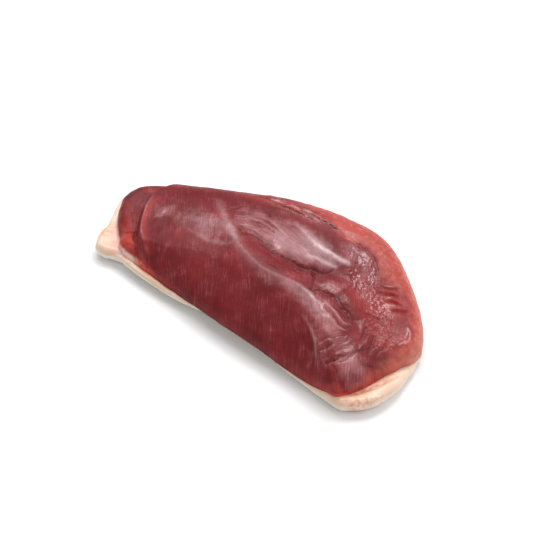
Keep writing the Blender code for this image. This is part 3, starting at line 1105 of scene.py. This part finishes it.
def muscleMaterial():
    settings = breastMuscle
    values = {
        "Roughness": 0.5,
        "Specular IOR Level": 0.16,
        "Subsurface Weight": 0.12,
        "Subsurface Radius": (0.004, 0.001, 0.0008),
        "Subsurface Scale": 0.5,
        "Coat Roughness": 0.18,
    }
    material, tree, shader = newMaterial("duckBreastMuscle", values)
    where = millimetres(tree)
    mask = {}
    layers = ("membrane", "sinewAndGlint", "raw", "band", "rim", "dark", "rough", "cut", "wet")
    for layer in (*layers, "redRimWithPaintedLight", "paleRim"):
        mask[layer] = painted(tree, layer).outputs["Fac"]
    broad = noise(tree, where, 0.07, 4.0, 0.6)
    soft = noise(tree, where, 0.14, 3.0, 0.6)
    fine = noise(tree, where, 0.4, 5.0, 0.65)
    grain = noise(tree, where, 1.5, 3.0, 0.6)

    lines = fibreLines(tree)
    away = sums(tree, "SUBTRACT", 1.0, mask["band"])

    def lay(share, name):
        return blend(tree, share, colour, tint(settings[name]))

    colour = blend(
        tree, ramp(tree, broad, 0.35, 0.65), tint(settings["deepTint"]), tint(settings["muscleTint"])
    )
    # darker meat and painted shade from the dark patches
    colour = lay(sums(tree, "MULTIPLY", mask["dark"], 0.9), "deepTint")
    colour = lay(ramp(tree, lines, 0.5, 0.36, 0.0, 0.35), "deepTint")
    rim = sums(tree, "ADD", mask["rim"], ramp(tree, fine, 0.3, 0.7, -0.6, 0.7))
    band = blend(tree, rim, tint(settings["bandTint"]), tint(settings["bandRimTint"]))
    colour = blend(tree, mask["band"], colour, band)
    raw = sums(tree, "MULTIPLY", mask["raw"], ramp(tree, fine, 0.3, 0.6, 0.5, 1.0))
    colour = lay(raw, "rawTint")
    film = sums(tree, "ADD", mask["membrane"], ramp(tree, soft, 0.3, 0.7, -0.35, 0.25))
    colour = lay(ramp(tree, film, 0.1, 1.1, 0.0, 0.8), "membraneTint")
    showing = ramp(tree, soft, 0.4, 0.66, 0.04, 0.34)
    showing = sums(tree, "MULTIPLY_ADD", mask["membrane"], 0.25, showing)
    threads = sums(tree, "MULTIPLY", ramp(tree, lines, 0.5, 0.66), showing)
    colour = lay(sums(tree, "MULTIPLY", threads, away), "membraneTint")
    bright = sums(tree, "MULTIPLY", threads, mask["membrane"])
    colour = lay(sums(tree, "MULTIPLY", bright, 0.6), "sinewAndGlintTint")
    between = sums(tree, "MULTIPLY", ramp(tree, lines, 0.48, 0.38), away)
    colour = lay(sums(tree, "MULTIPLY", between, 0.3), "muscleTint")
    # white sinew and painted glints
    sinewAndGlint = sums(tree, "MULTIPLY", mask["sinewAndGlint"], ramp(tree, fine, 0.35, 0.6, 0.45, 1.0))
    colour = lay(sinewAndGlint, "sinewAndGlintTint")
    # painted shade in the cuts, creases and the pinhole
    colour = lay(sums(tree, "MULTIPLY", mask["cut"], 0.9), "creaseShadeTint")
    # wet red rim, partly painted light over the shade low on the rim
    redRimWithPaintedLight = sums(tree, "MULTIPLY", mask["redRimWithPaintedLight"], ramp(tree, fine, 0.38, 0.55, 0.35, 1.0))
    colour = lay(redRimWithPaintedLight, "litRimRedTint")
    paleRim = sums(tree, "MULTIPLY", mask["paleRim"], ramp(tree, fine, 0.3, 0.55, 0.4, 1.0))
    colour = lay(paleRim, "creamTint")
    tree.links.new(colour, shader.inputs["Base Color"])

    wet = sums(tree, "MAXIMUM", mask["wet"], sums(tree, "MULTIPLY", mask["membrane"], 0.6))
    tree.links.new(ramp(tree, wet, 0.0, 1.0, 0.05, 0.9), shader.inputs["Coat Weight"])
    dull = sums(tree, "MULTIPLY_ADD", mask["dark"], 0.25, ramp(tree, grain, 0.3, 0.7, 0.40, 0.54))
    tree.links.new(dull, shader.inputs["Roughness"])

    gritty = sums(tree, "MULTIPLY", grain, ramp(tree, mask["rough"], 0.0, 1.0, 0.5, 2.2))
    height = sums(tree, "MULTIPLY_ADD", fine, 0.5, gritty)
    height = sums(tree, "MULTIPLY_ADD", lines, 0.9, height)
    roughen(tree, shader, height, *settings["bump"])
    return material


def makeMuscle():
    settings = breastMuscle
    bm, ball = puffedGrid(settings["cuts"], settings["flatShare"], openBelow=True)
    x, y = spread(meatEdge, ball)
    top, paint = muscleTop(x, y)
    away = 1 - paint["band"]
    z = np.where(ball[:, 2] > 0, top, muscleUnder(x, y))
    # dark patches: darker meat and painted shade
    paint["dark"] = patch(x, y, settings["darkAndShadedPatches"])
    paint["membrane"] = patch(x, y, settings["membrane"]) * away * (1 - paint["dark"])
    paint["sinewAndGlint"] = drawn(x, y, settings["sinewsAndGlints"])
    paint["raw"] = np.maximum(patch(x, y, settings["rawPatches"]), drawn(x, y, settings["rawEdges"]))
    paint["wet"] = patch(x, y, settings["wet"])
    above = paint.pop("above")
    for layer, films in (("redRimWithPaintedLight", "redRimsWithPaintedLight"), ("paleRim", "paleRims")):
        paint[layer] = np.zeros_like(x)
        for reach, spots in settings[films]:
            film = patch(x, y, spots) * softStep(3 - 3 * above / reach)
            paint[layer] = np.maximum(paint[layer], film)
    paint.update(fibres(x, y))
    return makePiece("breastMuscleTop", bm, np.stack([x, y, z], 1), muscleMaterial(), paint)


# Table, light and camera

studio = {
    "target": (-4.3, 11.1, 0.0),
    "azimuth": 32.0,
    "elevation": 45.0,
    "distance": 665.0,
    "lens": 85.0,
    "world": 0.55,
    # name: place in mm, width, length, power in watts
    "lights": {
        "softboxBehind": ((-330, 520, 880), 900, 700, 8.2),
        "softboxSmall": ((-60, 720, 950), 260, 260, 2.4),
        "softboxSide": ((700, 250, 750), 700, 700, 2.8),
    },
    "floorSize": 6000.0,
    "floorRoughness": 0.6,
    "floorTint": (0.88, 0.88, 0.88, 1.0),
}


def aim(thing, target):
    thing.rotation_mode = "QUATERNION"
    thing.rotation_quaternion = (target - thing.location).to_track_quat("-Z", "Y")


def setStage():
    scene = bpy.context.scene
    target = Vector(studio["target"]) * mm
    turn, rise = math.radians(studio["azimuth"]), math.radians(studio["elevation"])
    back = Vector(
        (math.sin(turn) * math.cos(rise), -math.cos(turn) * math.cos(rise), math.sin(rise))
    )
    cameraData = bpy.data.cameras.new("photoCamera")
    cameraData.lens = studio["lens"]
    camera = bpy.data.objects.new("photoCamera", cameraData)
    camera.location = target + back * studio["distance"] * mm
    aim(camera, target)
    scene.collection.objects.link(camera)
    scene.camera = camera

    for name, (place, width, length, power) in studio["lights"].items():
        lamp = bpy.data.lights.new(name, "AREA")
        lamp.shape = "RECTANGLE"
        lamp.size, lamp.size_y = width * mm, length * mm
        lamp.energy = power
        light = bpy.data.objects.new(name, lamp)
        light.location = Vector(place) * mm
        aim(light, Vector((0, 0, 0)))
        scene.collection.objects.link(light)

    world = bpy.data.worlds.new("paleRoom")
    world.use_nodes = True
    background = world.node_tree.nodes["Background"]
    background.inputs["Color"].default_value = (1, 1, 1, 1)
    background.inputs["Strength"].default_value = studio["world"]
    scene.world = world

    bpy.ops.mesh.primitive_plane_add(size=studio["floorSize"] * mm, location=(0, 0, 0))
    floor = bpy.context.object
    floor.name = "paleTable"
    values = {"Roughness": studio["floorRoughness"], "Base Color": studio["floorTint"]}
    floor.data.materials.append(newMaterial("paleTableTop", values)[0])
    scene.view_settings.view_transform = "Standard"


skin = makeSkin()
print("skin and fat layer made with", len(skin.data.polygons), "faces")
muscle = makeMuscle()
print("breast muscle made with", len(muscle.data.polygons), "faces")

for piece, node in ((skin, "skin_fat"), (muscle, "breast_meat")):
    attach(piece, "root")
    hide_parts(node)

setStage()
print("table, lights and camera set")

print("fillet finished")
